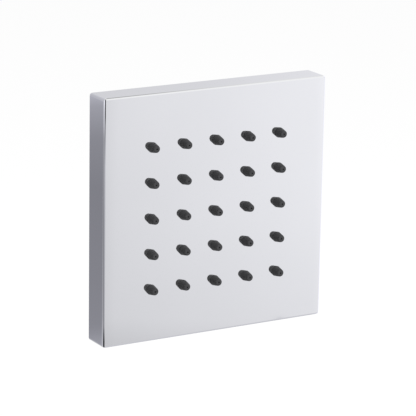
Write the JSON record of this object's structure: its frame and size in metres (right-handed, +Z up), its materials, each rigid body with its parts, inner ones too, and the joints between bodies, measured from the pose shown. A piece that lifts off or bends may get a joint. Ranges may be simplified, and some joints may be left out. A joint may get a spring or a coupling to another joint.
{
  "type": "shower body jet",
  "caption": "Flush square shower body jet: a mirror-chromed tray with a grid of soft tapered nozzles, a water chamber behind it, a clip-on wall bracket and a plug-in pipe nipple.",
  "frame": {"origin": "where the axis of the inlet pipe meets the wall plane, at the middle of the plate's back rim", "axes": "+X to the right seen from the front, +Y into the wall along the inlet pipe, +Z up"},
  "size_m": [0.12, 0.0468, 0.12],
  "materials": {
    "chrome": "mirror chrome plate on cast brass",
    "silicone": "dark grey moulded silicone, satin",
    "moulding": "dark grey moulded plastic, fine texture",
    "seal_rubber": "black rubber",
    "foam": "closed-cell foam, fine pores",
    "stainless": "rolled stainless sheet, brushed",
    "brass": "turned brass, bare",
    "insert_plastic": "pale moulded plastic"
  },
  "bodies": {
    "root": {"face_shell": "chrome", "nozzle_mat": "silicone", "mat_support_grid": "moulding", "chamber_housing": "moulding", "chamber_seal": "seal_rubber", "chamber_screws": "stainless", "wall_seal": "foam", "wall_bracket": "stainless", "lock_screws": "stainless", "inlet_nipple": "brass", "spigot_seal_front": "seal_rubber", "spigot_seal_rear": "seal_rubber", "nipple_washer": "seal_rubber", "flow_regulator_body": "insert_plastic", "flow_regulator_ring": "seal_rubber", "inlet_strainer": "stainless"}
  },
  "joints": []
}
